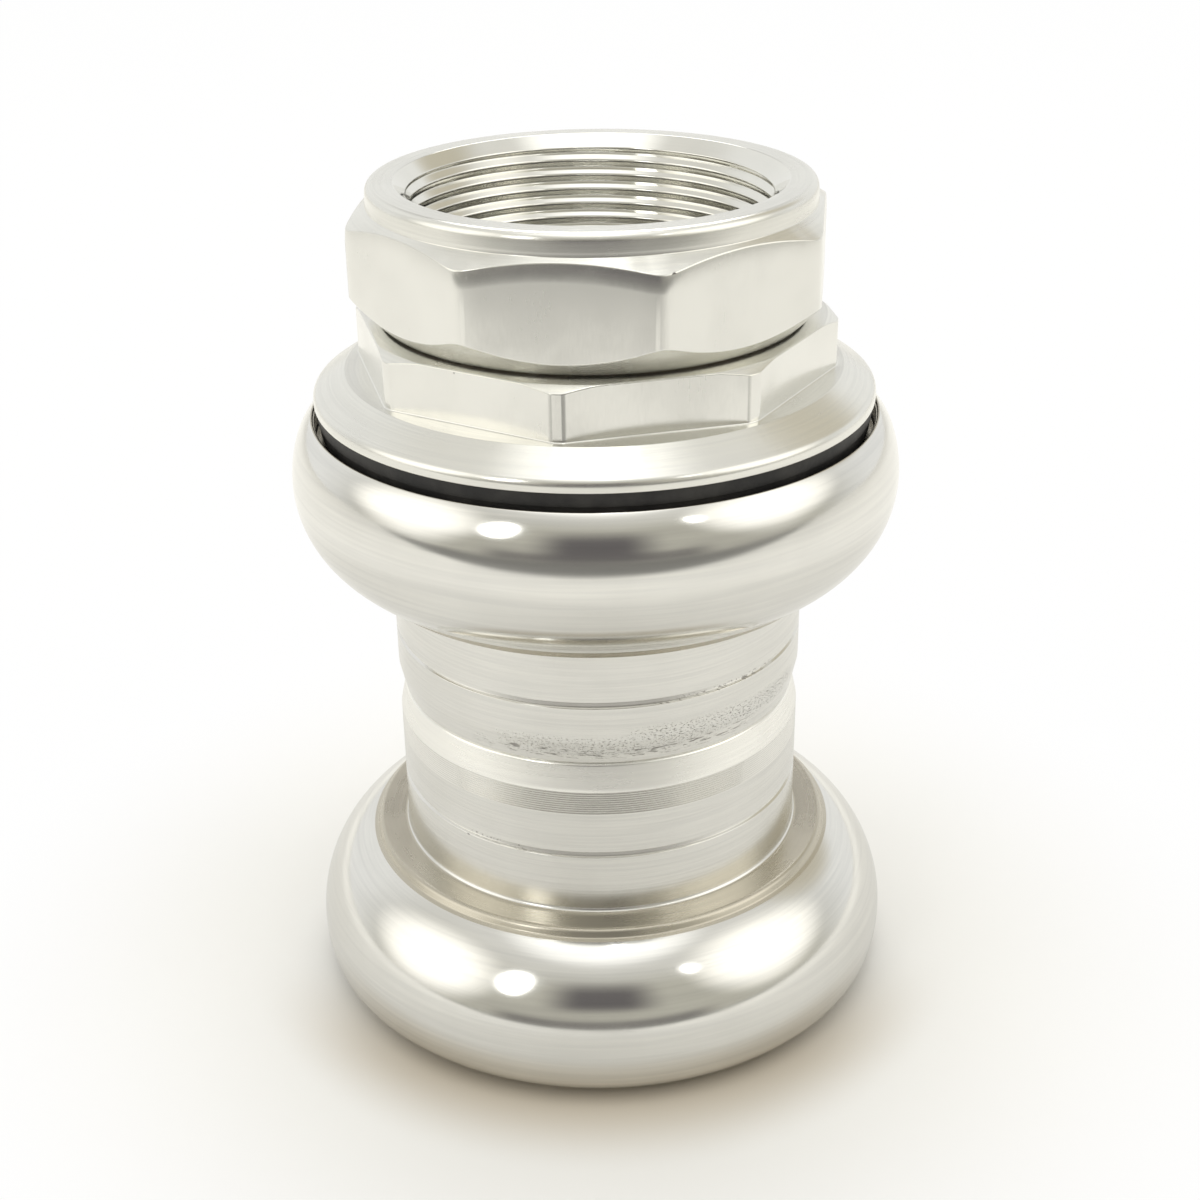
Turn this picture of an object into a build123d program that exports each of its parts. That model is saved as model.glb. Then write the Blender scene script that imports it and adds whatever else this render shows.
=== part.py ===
"""Threaded bicycle headset for a one inch steerer, stacked as it is sold and standing on its crown race.

Millimetres, +Z up along the steerer axis, origin on that axis in the plane the crown race stands on.
"""

import os
from math import cos, pi, radians, sqrt, tan

from build123d import *

os.makedirs("parts", exist_ok=True)

# Steerer, and what stands round it: the fork's crown seat and the cups' skirts in the head tube
thread_major_r = 12.7
thread_clearance = 0.05
crown_seat_step = 0.5
skirt_gap = 1.05
skirt_wall = 1.35

# Wrench octagons of the race and the nut
octagon_sides = 8
octagon_wall = 3.15
corner_trim = 0.155
race_turn = 37.0
nut_turn = 14.9

# Both cups: skirt, shoulder against the head tube, and rim
skirt_lead_drop = 0.45
skirt_lead_length = 2.05
skirt_end_round = 0.25
groove_from_shoulder = 4.56
groove_width = 0.48
groove_depth = 0.2
root_fillet = 0.35
shoulder_width = 2.2
shoulder_edge_width = 0.25
shoulder_edge_height = 0.55
bulge_round = 8.6
mouth_step = 0.9
lip_step_width = 0.15
lip_step_depth = 0.2
throat_relief = 0.6
throat_slope = 45.0

# Each cup's own skirt, mouth above the bearing, rim, and the bulge's swell and drop from the rim;
# from the crest, where the bulge is widest, its round runs on for an angle and then closes to the rim
upper_skirt_length = 9.65
upper_mouth_depth = 1.6
upper_rim_wall = 0.27
upper_bulge_swell = 1.6
upper_bulge_drop = 4.58
upper_crest_angle = 18.7
lower_skirt_length = 12.05
lower_mouth_depth = 1.05
lower_rim_wall = 1.05
lower_bulge_swell = 1.25
lower_bulge_drop = 3.12
lower_crest_angle = 12.0

# Cartridge bearings
bearing_section = 5.425
bearing_height = 6.5
bearing_seat_height = 3.6
bearing_fit = 0.02
ring_chamfer = 0.35
ring_seat_chamfer = 1.3
land_offset = 0.9
ball_r = 1.5875
ball_count = 20
ball_play = 0.03
cage_thickness = 1.1
cage_side = 0.4
pocket_play = 0.1
shield_thickness = 0.5
shield_inset = 0.1
shield_groove = 0.5
shield_gap = 0.1
seat_gap = 0.03

# Adjusting race
flange_side_gap = 0.06
flange_edge = 0.75
flange_round = 0.7
flange_gap = 1.09
flange_slope = 33.3
ledge_width = 0.55
race_land_height = 3.23
race_top_chamfer_width = 0.75
race_top_chamfer_height = 0.375
race_hub_step = 1.37
thread_lead = 0.5

# Rubber seals
seal_inset = 0.2
seal_gap = 0.15
seal_wall = 0.9
seal_lip_reach = 0.85
seal_side_gap = 0.4
crown_seal_thickness = 0.6
crown_seal_gap = 0.22

# Keyed washer
washer_inset = 1.55
washer_thickness = 1.0
washer_bore_clearance = 0.1
washer_side_gap = 0.15
tongue_width = 3.2
tongue_reach = 1.2

# Lock nut
nut_slit = 0.15
nut_base_drop = 0.95
nut_base_slope = 45.0
nut_land_height = 4.6
nut_top_slope = 30.0
collar_drop = 0.47
collar_height = 1.47
collar_round = 0.7
nut_mouth_flare = 0.72
nut_mouth_slope = 43.0

# Crown race
rim_stand_off = 0.8
crown_side_gap = 0.5
crown_plate_thickness = 1.0
crown_plate_chamfer = 0.3
crown_nose_wall = 0.345

# Radii, from the steerer outwards
thread_bore_r = thread_major_r + thread_clearance
crown_seat_r = thread_major_r + crown_seat_step
skirt_bore_r = thread_major_r + skirt_gap
skirt_r = skirt_bore_r + skirt_wall
flat_r = thread_major_r + octagon_wall
corner_r = flat_r / cos(pi / octagon_sides) - corner_trim
nut_base_r = flat_r - nut_base_drop
collar_r = flat_r - collar_drop
crown_nose_r = crown_seat_r + crown_nose_wall
bearing_bore_r = crown_nose_r + seat_gap
bearing_outer_r = bearing_bore_r + bearing_section
ball_pitch_r = (bearing_outer_r + bearing_bore_r) / 2
outer_land_r = ball_pitch_r + land_offset
inner_land_r = ball_pitch_r - land_offset
seat_cone_r = bearing_bore_r + ring_seat_chamfer - seat_gap * sqrt(2)
race_hub_r = seat_cone_r + race_hub_step
mouth_r = bearing_outer_r + mouth_step
flange_r = mouth_r - flange_side_gap
ledge_r = corner_r + ledge_width
crown_plate_r = mouth_r - crown_side_gap

# Heights above a cup's shoulder
ball_height = bearing_seat_height + bearing_height / 2
bearing_mouth_height = bearing_seat_height + bearing_height
upper_rim_height = bearing_mouth_height + upper_mouth_depth
lower_rim_height = bearing_mouth_height + lower_mouth_depth

# Heights of the stack, from the crown race's base upwards
lower_shoulder_z = rim_stand_off + lower_rim_height
joint_z = lower_shoulder_z + lower_skirt_length
upper_shoulder_z = joint_z + upper_skirt_length
upper_rim_z = upper_shoulder_z + upper_rim_height
upper_bearing_top_z = upper_shoulder_z + bearing_mouth_height
lower_bearing_foot_z = lower_shoulder_z - bearing_mouth_height
flange_foot_z = upper_rim_z + flange_gap
flange_top_z = flange_foot_z + flange_edge
ledge_z = flange_top_z + (flange_r - ledge_r) * tan(radians(flange_slope))
race_top_z = ledge_z + race_land_height + race_top_chamfer_height
nut_foot_z = race_top_z + nut_slit
nut_corner_foot_z = nut_foot_z + (corner_r - nut_base_r) * tan(radians(nut_base_slope))
nut_corner_top_z = nut_corner_foot_z + nut_land_height
collar_foot_z = nut_corner_top_z + (corner_r - collar_r) * tan(radians(nut_top_slope))
nut_top_z = collar_foot_z + collar_height

# Half-section planes: X is the radius, Y the height above the shoulder towards the cup's mouth
upper_section = Plane(origin=(0, 0, upper_shoulder_z), x_dir=(1, 0, 0), z_dir=(0, -1, 0))
lower_section = Plane(origin=(0, 0, lower_shoulder_z), x_dir=(1, 0, 0), z_dir=(0, 1, 0))


def turned_cup(section, skirt_length, rim_height, rim_wall, bulge_swell, bulge_drop, crest_angle):
    """Pressed cup: skirt for the head tube, flat shoulder, round bulge and a mouth for the bearing."""
    rim_r = mouth_r + rim_wall
    bulge_r = rim_r + bulge_swell
    bulge_height = rim_height - bulge_drop
    skirt_end = -skirt_length
    groove_foot = -groove_from_shoulder - groove_width
    shoulder_r = skirt_r + shoulder_width
    lip_step_r = mouth_r + lip_step_width
    seat_r = bearing_outer_r + bearing_fit
    throat_height = bearing_seat_height - throat_relief
    throat_end = throat_height - (outer_land_r - skirt_bore_r) * tan(radians(throat_slope))
    with BuildPart() as cup:
        with BuildSketch(section) as half:
            with BuildLine():
                Polyline(
                    (skirt_bore_r, skirt_end),
                    (skirt_r - skirt_lead_drop, skirt_end),
                    (skirt_r, skirt_end + skirt_lead_length),
                    (skirt_r, groove_foot),
                    (skirt_r - groove_depth, groove_foot + groove_depth / 2),
                    (skirt_r - groove_depth, -groove_from_shoulder - groove_depth / 2),
                    (skirt_r, -groove_from_shoulder),
                    (skirt_r, 0),
                    (shoulder_r, 0),
                    (shoulder_r + shoulder_edge_width, shoulder_edge_height),
                )
                TangentArc(
                    (bulge_r, bulge_height),
                    (shoulder_r + shoulder_edge_width, shoulder_edge_height),
                    tangent=(0, -1),
                )
                crest = JernArc((bulge_r, bulge_height), (0, 1), bulge_round, crest_angle)
                TangentArc(crest @ 1, (rim_r, rim_height), tangent=crest % 1)
                Polyline(
                    (rim_r, rim_height),
                    (lip_step_r, rim_height),
                    (lip_step_r, rim_height - lip_step_depth),
                    (mouth_r, rim_height - lip_step_depth),
                    (mouth_r, bearing_mouth_height),
                    (seat_r, bearing_mouth_height),
                    (seat_r, bearing_seat_height),
                    (outer_land_r, bearing_seat_height),
                    (outer_land_r, throat_height),
                    (skirt_bore_r, throat_end),
                    (skirt_bore_r, skirt_end),
                )
            make_face()
            fillet(half.vertices().sort_by_distance((skirt_r, 0))[0], root_fillet)
            fillet(half.vertices().sort_by_distance((skirt_r - skirt_lead_drop, skirt_end))[0], skirt_end_round)
        revolve(axis=Axis.Z)
    return cup


def outer_ring(section):
    """Bearing ring pressed in the cup, with a ball groove and a recess for a shield at each end."""
    foot = bearing_seat_height
    top = bearing_mouth_height
    shield_depth = shield_inset + shield_thickness
    with BuildPart() as ring:
        with BuildSketch(section) as half:
            with BuildLine():
                Polyline(
                    (outer_land_r + shield_groove, foot),
                    (bearing_outer_r, foot),
                    (bearing_outer_r, top),
                    (outer_land_r + shield_groove, top),
                    (outer_land_r + shield_groove, top - shield_depth),
                    (outer_land_r, top - shield_depth),
                    (outer_land_r, foot + shield_depth),
                    (outer_land_r + shield_groove, foot + shield_depth),
                    close=True,
                )
            make_face()
            chamfer(half.vertices().group_by(Axis.X)[-1], ring_chamfer)
            with Locations((ball_pitch_r, ball_height)):
                Circle(ball_r + ball_play, mode=Mode.SUBTRACT)
        revolve(axis=Axis.Z)
    return ring


def inner_ring(section):
    """Bearing ring that turns with the steerer, with the bevel that the race's cone seats in."""
    with BuildPart() as ring:
        with BuildSketch(section) as half:
            with BuildLine():
                Polyline(
                    (bearing_bore_r, bearing_seat_height),
                    (inner_land_r, bearing_seat_height),
                    (inner_land_r, bearing_mouth_height),
                    (bearing_bore_r + ring_seat_chamfer, bearing_mouth_height),
                    (bearing_bore_r, bearing_mouth_height - ring_seat_chamfer),
                    close=True,
                )
            make_face()
            chamfer(half.vertices().sort_by_distance((bearing_bore_r, bearing_seat_height))[0], ring_chamfer)
            with Locations((ball_pitch_r, ball_height)):
                Circle(ball_r + ball_play, mode=Mode.SUBTRACT)
        revolve(axis=Axis.Z)
    return ring


def ball_set(section):
    """The ring of bearing balls."""
    with BuildPart(Plane.XY.offset(section.from_local_coords((0, ball_height)).Z)) as balls:
        with PolarLocations(ball_pitch_r, ball_count):
            Sphere(ball_r)
    return balls


def ball_cage(section):
    """Ring with a round pocket for each ball."""
    with BuildPart() as cage:
        with BuildSketch(section):
            with Locations((ball_pitch_r, ball_height)):
                Rectangle(cage_thickness, 2 * (ball_r + pocket_play + cage_side))
        revolve(axis=Axis.Z)
        with Locations(Plane.XY.offset(section.from_local_coords((0, ball_height)).Z)):
            with PolarLocations(ball_pitch_r, ball_count):
                Cylinder(
                    ball_r + pocket_play, ball_pitch_r, rotation=(0, 90, 0), mode=Mode.SUBTRACT
                )
    return cage


def shield(section, foot):
    """Thin shield held in the outer ring, just clear of the inner ring."""
    inner_r = inner_land_r + shield_gap
    outer_r = outer_land_r + shield_groove
    with BuildPart() as ring:
        with BuildSketch(section):
            with Locations((inner_r, foot)):
                Rectangle(outer_r - inner_r, shield_thickness, align=(Align.MIN, Align.MIN))
        revolve(axis=Axis.Z)
    return ring


upper_cup = turned_cup(
    upper_section,
    upper_skirt_length,
    upper_rim_height,
    upper_rim_wall,
    upper_bulge_swell,
    upper_bulge_drop,
    upper_crest_angle,
)
lower_cup = turned_cup(
    lower_section,
    lower_skirt_length,
    lower_rim_height,
    lower_rim_wall,
    lower_bulge_swell,
    lower_bulge_drop,
    lower_crest_angle,
)

# Crown race: flat base on the fork crown, with a cone that seats in the lower bearing's bevel
crown_nose_z = lower_bearing_foot_z + seat_cone_r - crown_nose_r
crown_cone_r = seat_cone_r + lower_bearing_foot_z - crown_plate_thickness
with BuildPart() as crown_race:
    with BuildSketch(Plane.XZ) as crown_half:
        with BuildLine():
            Polyline(
                (crown_seat_r, 0),
                (crown_plate_r, 0),
                (crown_plate_r, crown_plate_thickness),
                (crown_cone_r, crown_plate_thickness),
                (crown_nose_r, crown_nose_z),
                (crown_seat_r, crown_nose_z),
                close=True,
            )
        make_face()
        chamfer(crown_half.vertices().group_by(Axis.X)[-1], crown_plate_chamfer)
    revolve(axis=Axis.Z)

# Rubber ring on the crown race, under the lower bearing
crown_seal_bore_r = crown_cone_r + crown_seal_gap
crown_seal_width = crown_plate_r - crown_plate_chamfer - crown_seal_bore_r
with BuildPart() as crown_race_seal:
    with BuildSketch(Plane.XZ):
        with Locations((crown_seal_bore_r, crown_plate_thickness)):
            Rectangle(crown_seal_width, crown_seal_thickness, align=(Align.MIN, Align.MIN))
    revolve(axis=Axis.Z)

# Adjusting race: octagon with turned corners on a ledge, conical dust flange and a cone in the upper bearing
hub_nose_r = bearing_bore_r - seat_gap
hub_nose_z = upper_bearing_top_z - (seat_cone_r - hub_nose_r)
hub_shoulder_z = upper_bearing_top_z + race_hub_r - seat_cone_r
with BuildPart() as adjusting_race:
    with BuildSketch(Plane.XY.offset(flange_foot_z)):
        RegularPolygon(flat_r, octagon_sides, major_radius=False, rotation=race_turn)
    extrude(amount=race_top_z - flange_foot_z)
    with BuildSketch(Plane.XZ):
        with BuildLine():
            Polyline(
                (0, flange_foot_z),
                (corner_r, flange_foot_z),
                (corner_r, race_top_z - race_top_chamfer_height),
                (corner_r - race_top_chamfer_width, race_top_z),
                (0, race_top_z),
                close=True,
            )
        make_face()
    revolve(axis=Axis.Z, mode=Mode.INTERSECT)
    with BuildSketch(Plane.XZ) as flange_half:
        with BuildLine():
            Polyline(
                (thread_major_r, hub_nose_z),
                (hub_nose_r, hub_nose_z),
                (race_hub_r, hub_shoulder_z),
                (race_hub_r, flange_foot_z),
                (flange_r, flange_foot_z),
                (flange_r, flange_top_z),
                (ledge_r, ledge_z),
                (thread_major_r, ledge_z),
                close=True,
            )
        make_face()
        fillet(flange_half.vertices().sort_by_distance((flange_r, flange_top_z))[0], flange_round)
    revolve(axis=Axis.Z)
    with BuildSketch(Plane.XZ):
        with BuildLine():
            Polyline(
                (0, hub_nose_z),
                (thread_bore_r, hub_nose_z),
                (thread_bore_r, race_top_z - thread_lead),
                (thread_bore_r + thread_lead, race_top_z),
                (0, race_top_z),
                close=True,
            )
        make_face()
    revolve(axis=Axis.Z, mode=Mode.SUBTRACT)

# Black dust seal: a ring under the flange with a lip that dips into the cup's mouth
seal_r = flange_r - seal_inset
seal_foot_z = upper_rim_z + seal_gap
seal_lip_r = mouth_r - seal_side_gap
with BuildPart() as dust_seal:
    with BuildSketch(Plane.XZ):
        with BuildLine():
            Polyline(
                (race_hub_r + seat_gap, flange_foot_z),
                (seal_r, flange_foot_z),
                (seal_r, seal_foot_z),
                (seal_lip_r, seal_foot_z),
                (seal_lip_r, seal_foot_z - seal_lip_reach),
                (seal_lip_r - seal_wall, seal_foot_z - seal_lip_reach),
                (seal_lip_r - seal_wall, seal_foot_z),
                (race_hub_r + seat_gap, seal_foot_z),
                close=True,
            )
        make_face()
    revolve(axis=Axis.Z)

# Keyed washer: the tongue runs in the steerer's keyway
washer_r = flat_r - washer_inset
washer_bore_r = thread_bore_r + washer_bore_clearance
with BuildPart() as keyed_washer:
    with BuildSketch(Plane.XY.offset(race_top_z)):
        Circle(washer_r)
        Circle(washer_bore_r, mode=Mode.SUBTRACT)
        with Locations((0, thread_major_r - tongue_reach)):
            Rectangle(tongue_width, washer_r - thread_major_r + tongue_reach / 2, align=(Align.CENTER, Align.MIN))
    extrude(amount=washer_thickness)

# Lock nut: octagon turned to a cone at each end, a collar on top and a pocket for the washer below
pocket_r = washer_r + washer_side_gap
pocket_z = race_top_z + washer_thickness
nut_mouth_r = thread_major_r + nut_mouth_flare
nut_mouth_foot_z = nut_top_z - (nut_mouth_r - thread_bore_r) * tan(radians(nut_mouth_slope))
with BuildPart() as lock_nut:
    with BuildSketch(Plane.XY.offset(nut_foot_z)):
        RegularPolygon(flat_r, octagon_sides, major_radius=False, rotation=nut_turn)
    extrude(amount=nut_top_z - nut_foot_z)
    with BuildSketch(Plane.XZ) as nut_half:
        with BuildLine():
            Polyline(
                (0, nut_foot_z),
                (nut_base_r, nut_foot_z),
                (corner_r, nut_corner_foot_z),
                (corner_r, nut_corner_top_z),
                (collar_r, collar_foot_z),
                (collar_r, nut_top_z),
                (0, nut_top_z),
                close=True,
            )
        make_face()
        fillet(nut_half.vertices().sort_by_distance((collar_r, nut_top_z))[0], collar_round)
    revolve(axis=Axis.Z, mode=Mode.INTERSECT)
    with BuildSketch(Plane.XZ):
        with BuildLine():
            Polyline(
                (0, nut_foot_z),
                (pocket_r, nut_foot_z),
                (pocket_r, pocket_z),
                (thread_bore_r + thread_lead, pocket_z),
                (thread_bore_r, pocket_z + thread_lead),
                (thread_bore_r, nut_mouth_foot_z),
                (nut_mouth_r, nut_top_z),
                (0, nut_top_z),
                close=True,
            )
        make_face()
    revolve(axis=Axis.Z, mode=Mode.SUBTRACT)

pieces = {
    "crown_race": crown_race,
    "crown_race_seal": crown_race_seal,
    "lower_cup": lower_cup,
    "upper_cup": upper_cup,
    "dust_seal": dust_seal,
    "adjusting_race": adjusting_race,
    "keyed_washer": keyed_washer,
    "lock_nut": lock_nut,
}
mouth_shield_foot = bearing_mouth_height - shield_inset - shield_thickness
inner_shield_foot = bearing_seat_height + shield_inset
for place, section in (("upper", upper_section), ("lower", lower_section)):
    pieces[f"{place}_outer_ring"] = outer_ring(section)
    pieces[f"{place}_inner_ring"] = inner_ring(section)
    pieces[f"{place}_balls"] = ball_set(section)
    pieces[f"{place}_cage"] = ball_cage(section)
    pieces[f"{place}_mouth_shield"] = shield(section, mouth_shield_foot)
    pieces[f"{place}_inner_shield"] = shield(section, inner_shield_foot)

for name, piece in pieces.items():
    piece.part.label = name
    export_step(piece.part, f"parts/{name}.step")
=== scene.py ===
"""Finished looks of a threaded bicycle headset: cups, threaded octagons, seals, bearings and a studio."""

import math

import bmesh
import bpy
from bpy.props import FloatProperty, FloatVectorProperty, IntProperty, PointerProperty
from mathutils import Matrix, Vector


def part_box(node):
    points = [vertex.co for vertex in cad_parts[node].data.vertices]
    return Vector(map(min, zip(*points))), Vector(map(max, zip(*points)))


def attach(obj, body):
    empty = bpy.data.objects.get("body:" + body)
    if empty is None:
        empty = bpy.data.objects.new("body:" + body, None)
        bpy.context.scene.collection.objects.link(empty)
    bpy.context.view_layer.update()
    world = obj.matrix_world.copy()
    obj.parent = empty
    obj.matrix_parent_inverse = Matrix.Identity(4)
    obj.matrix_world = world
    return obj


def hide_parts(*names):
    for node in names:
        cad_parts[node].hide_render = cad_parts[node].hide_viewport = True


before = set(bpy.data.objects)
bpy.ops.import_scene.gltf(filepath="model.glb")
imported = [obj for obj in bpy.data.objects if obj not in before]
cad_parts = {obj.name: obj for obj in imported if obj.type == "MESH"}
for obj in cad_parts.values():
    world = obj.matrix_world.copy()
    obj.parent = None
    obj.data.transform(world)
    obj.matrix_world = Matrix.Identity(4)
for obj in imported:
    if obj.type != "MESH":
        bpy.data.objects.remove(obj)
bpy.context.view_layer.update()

bl_info = {
    "name": "Threaded Headset",
    "version": (1, 0, 0),
    "blender": (4, 5, 0),
    "location": "3D View > Sidebar > Headset",
    "description": "Turned, threaded and polished looks for a one inch bicycle headset",
    "category": "Object",
}

MM = 0.001
FULL_TURN = 2.0 * math.pi


def length(millimetres, description):
    """A length that a user may change, given in millimetres."""
    return FloatProperty(description=description, default=millimetres * MM, unit="LENGTH", precision=6)


def slope(degrees, description):
    """An angle that a user may change, given in degrees."""
    return FloatProperty(description=description, default=math.radians(degrees), subtype="ANGLE")


def colour(red, green, blue, description):
    """A colour that a user may change, in linear light."""
    return FloatVectorProperty(description=description, default=(red, green, blue), subtype="COLOR",
                               min=0.0, max=1.0)


def share(default, description):
    """A number from 0 to 1 that a user may change."""
    return FloatProperty(description=description, default=default, min=0.0, max=1.0, subtype="FACTOR")


def number(default, description):
    """A count that a user may change."""
    return IntProperty(description=description, default=default, min=1)


class HeadsetTurning(bpy.types.PropertyGroup):
    """How finely the cups are cut, how their edges are broken, and the lines cut in their skirts."""

    columns: number(272, "Faces round a cup")
    arc_splits: number(4, "Parts that each chord of a curve is cut into")
    edge_break: length(0.1, "Rounding of a turned edge")
    edge_steps: number(4, "Faces across a broken edge")
    large_round: length(0.3, "Rounding above which an edge gets three times as many faces")
    skirt_radius: length(15.1, "Radius of the skirts")
    shoulder_radius: length(17.56, "Radius at which a bowl starts")
    shoulder_break: length(0.45, "Rounding between a shoulder and its bowl")
    groove_break: length(0.05, "Rounding along the groove of a skirt")
    # Below groove_depth the bottom of a skirt's groove gets painted shade in front
    groove_depth: length(0.19, "Depth at which the groove of a skirt holds dirt")
    land_height: length(2.05, "Height of the tapered land on the lower skirt")
    feed_low: length(20.15, "Height at which the feed lines start")
    feed_high: length(21.93, "Height at which the feed lines end")
    feed_depth: length(0.03, "Depth of a feed line")
    feed_count: number(10, "Feed lines on the lower skirt")
    feed_steps: number(6, "Faces across a feed line")


class HeadsetOctagon(bpy.types.PropertyGroup):
    """Sizes of the wrench octagons on the lock nut and the adjusting race."""

    sides: number(8, "Wrench flats")
    flat_radius: length(15.85, "Distance from the axis to a flat")
    corner_radius: length(17.001, "Radius that the corners are turned down to")
    nut_blend: length(0.3, "Softness of the nut's corners")
    race_blend: length(0.08, "Softness of the race's corners")
    nut_turn: slope(14.9, "Azimuth of one corner of the nut")
    race_turn: slope(37.0, "Azimuth of one corner of the race")
    flat_columns: number(24, "Columns across one flat")


class HeadsetThread(bpy.types.PropertyGroup):
    """The steerer thread inside the lock nut and the adjusting race."""

    bore_radius: length(12.75, "Root radius of the thread")
    lead: length(0.5, "Chamfer at the inner end of the thread")
    pitch: length(25.4 / 24.0, "Rise in one turn, 24 threads to the inch")
    depth: length(0.42, "Height of the ridges above the root")
    start: length(60.3, "Height of one valley at the back of the nut")
    root_half: share(0.02, "Half of the flat root, as a share of the pitch")
    crest_half: share(0.04, "Half of the flat crest, as a share of the pitch")
    rows: number(16, "Rows of faces in one turn")


class HeadsetNut(bpy.types.PropertyGroup):
    """Outline of the lock nut, as radii and as heights above its foot."""

    pocket_radius: length(14.45, "Radius of the pocket over the washer")
    pocket_height: length(0.85, "Depth of the pocket over the washer")
    base_radius: length(14.9, "Radius of the face that bears on the washer")
    base_slope: slope(45.0, "Slope of the cone under the flats")
    land_top: length(6.701, "Height at which the top cone meets the corners")
    top_slope: slope(30.0, "Slope of the cone above the flats")
    collar_radius: length(15.38, "Radius of the collar on top")
    collar_height: length(7.636, "Height at which the collar starts")
    collar_foot: length(0.3, "Height over which the collar's foot stands straight")
    collar_bend: length(2.4, "Rounding above the straight foot of the collar")
    collar_round: length(0.7, "Rounding of the collar's outer edge")
    collar_ease: slope(3.0, "How far the buffed collar leans in")
    flat_ease: slope(6.0, "How far the buffed top of a flat leans in")
    flat_ease_height: length(0.8, "Height of the buffed top of a flat")
    mouth_radius: length(13.42, "Radius of the thread's mouth")
    mouth_height: length(8.481, "Height at which the mouth's bevel meets the thread")


class HeadsetRace(bpy.types.PropertyGroup):
    """Outline of the adjusting race, as radii and as heights above its foot."""

    nose_radius: length(13.545, "Radius of the hub's lower end")
    hub_radius: length(16.203, "Radius of the hub inside the seal")
    hub_height: length(2.658, "Height at which the hub has its full radius")
    flange_radius: length(19.84, "Radius of the dust flange")
    flange_height: length(3.978, "Height of the flange's lower face")
    flange_edge: length(0.75, "Height of the flange's edge under its cone")
    flange_round: length(0.7, "Rounding between the flange's edge and its cone")
    flange_slope: slope(33.3, "Slope of the flange's cone")
    ledge_radius: length(17.551, "Radius at which the cone meets the ledge under the flats")
    bevel_width: length(0.75, "Width of the bevel on the top corners")
    bevel_height: length(0.375, "Height of the bevel on the top corners")


class HeadsetFinish(bpy.types.PropertyGroup):
    """Colours and sheen of the finishes; the shoulder colour holds painted shade and the land colour painted
    light.
    """

    polished: colour(0.83, 0.825, 0.80, "Bowls and skirts of the cups")
    satin: colour(0.855, 0.85, 0.812, "Lock nut and adjusting race")
    # shoulder is a darker, browner copy of the polished metal: painted shade on the shoulders, mouths and
    # insides of the cups
    shoulder: colour(0.585, 0.55, 0.47, "Shoulders, mouths and insides of the cups")
    # land is a lighter copy of the polished metal: painted light, so the land reads brighter
    land: colour(0.96, 0.955, 0.925, "Land at the end of the lower skirt")
    steel: colour(0.62, 0.62, 0.63, "Bearing rings, balls and crown race")
    washer: colour(0.30, 0.26, 0.21, "Keyed washer")
    rubber: colour(0.013, 0.0125, 0.013, "Seals and shields")
    nylon: colour(0.66, 0.60, 0.47, "Ball cages")
    # pit also colours the painted shade in the groove and feed-line bottoms
    pit: colour(0.10, 0.085, 0.075, "Bottom of a casting pit")
    dust: colour(0.32, 0.30, 0.27, "Dust on rubber and nylon")
    bulge_roughness: share(0.115, "Roughness of the polished bowls")
    skirt_roughness: share(0.21, "Roughness of the turned skirts")
    shoulder_roughness: share(0.27, "Roughness of the turned shoulders")
    flat_roughness: share(0.21, "Roughness of the wrench flats")
    cone_roughness: share(0.23, "Roughness of the cones, collar and flange")
    thread_roughness: share(0.10, "Roughness of the cut thread")


class HeadsetStage(bpy.types.PropertyGroup):
    """Camera, floor and light."""

    lens: FloatProperty(description="Focal length on a 36 mm sensor, in millimetres", default=55.5)
    camera_place: FloatVectorProperty(description="Where the camera stands", unit="LENGTH",
                                      subtype="TRANSLATION", default=(0.00018, -0.12509, 0.09058))
    pitch: slope(26.01, "How far the camera looks down")
    roll: slope(-0.777, "How far the camera leans")
    floor_size: length(4000.0, "Side of the square floor")
    floor_drop: length(-0.02, "Height of the floor")
    floor: colour(0.90, 0.895, 0.88, "Floor away from the headset")
    # floor_shade is the colour of a painted contact shadow close in front of the headset
    floor_shade: colour(0.66, 0.60, 0.51, "Floor close in front of the headset")
    backdrop: colour(0.89, 0.89, 0.87, "Light tent behind the headset")
    room: colour(0.52, 0.505, 0.44, "Light tent in front of the headset")
    ceiling: colour(0.80, 0.79, 0.75, "Light tent overhead")
    front: colour(0.15, 0.14, 0.14, "Dark card in front")
    floor_near: length(-172.0, "Where the floor starts to turn dull towards the front")
    floor_far: length(-228.0, "Where the floor is dullest towards the front")
    floor_dull: share(0.75, "Light that the floor loses there, as the metal shows it")
    card_place: length(-140.0, "Distance of the dark card towards the front")
    card_half: length(70.0, "Half of the dark card's width")
    card_foot: length(30.0, "Height of the dark card's foot")
    card_top: length(150.0, "Height of the dark card's top")


def place(tree, kind, values=None, **settings):
    """Add a node to a tree, and give its inputs constants or links by name or number."""
    made = tree.nodes.new(kind)
    for name, setting in settings.items():
        setattr(made, name, setting)
    for key, value in (values or {}).items():
        if isinstance(value, bpy.types.NodeSocket):
            tree.links.new(value, made.inputs[key])
        else:
            made.inputs[key].default_value = value
    return made


def calc(tree, operation, *terms):
    """One step of arithmetic on values or links."""
    return place(tree, "ShaderNodeMath", dict(enumerate(terms)), operation=operation).outputs[0]


def ramp(tree, value, low, high, out_low=0.0, out_high=1.0):
    """A soft step from one value to another."""
    values = {"Value": value, "From Min": low, "From Max": high, "To Min": out_low, "To Max": out_high}
    return place(tree, "ShaderNodeMapRange", values, interpolation_type="SMOOTHSTEP").outputs["Result"]


def mix(tree, factor, first, second):
    """Colours mixed by a factor."""
    made = place(tree, "ShaderNodeMix", data_type="RGBA")
    for socket, value in ((made.inputs[0], factor), (made.inputs[6], first), (made.inputs[7], second)):
        if isinstance(value, bpy.types.NodeSocket):
            tree.links.new(value, socket)
        else:
            socket.default_value = value
    return made.outputs[2]


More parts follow.
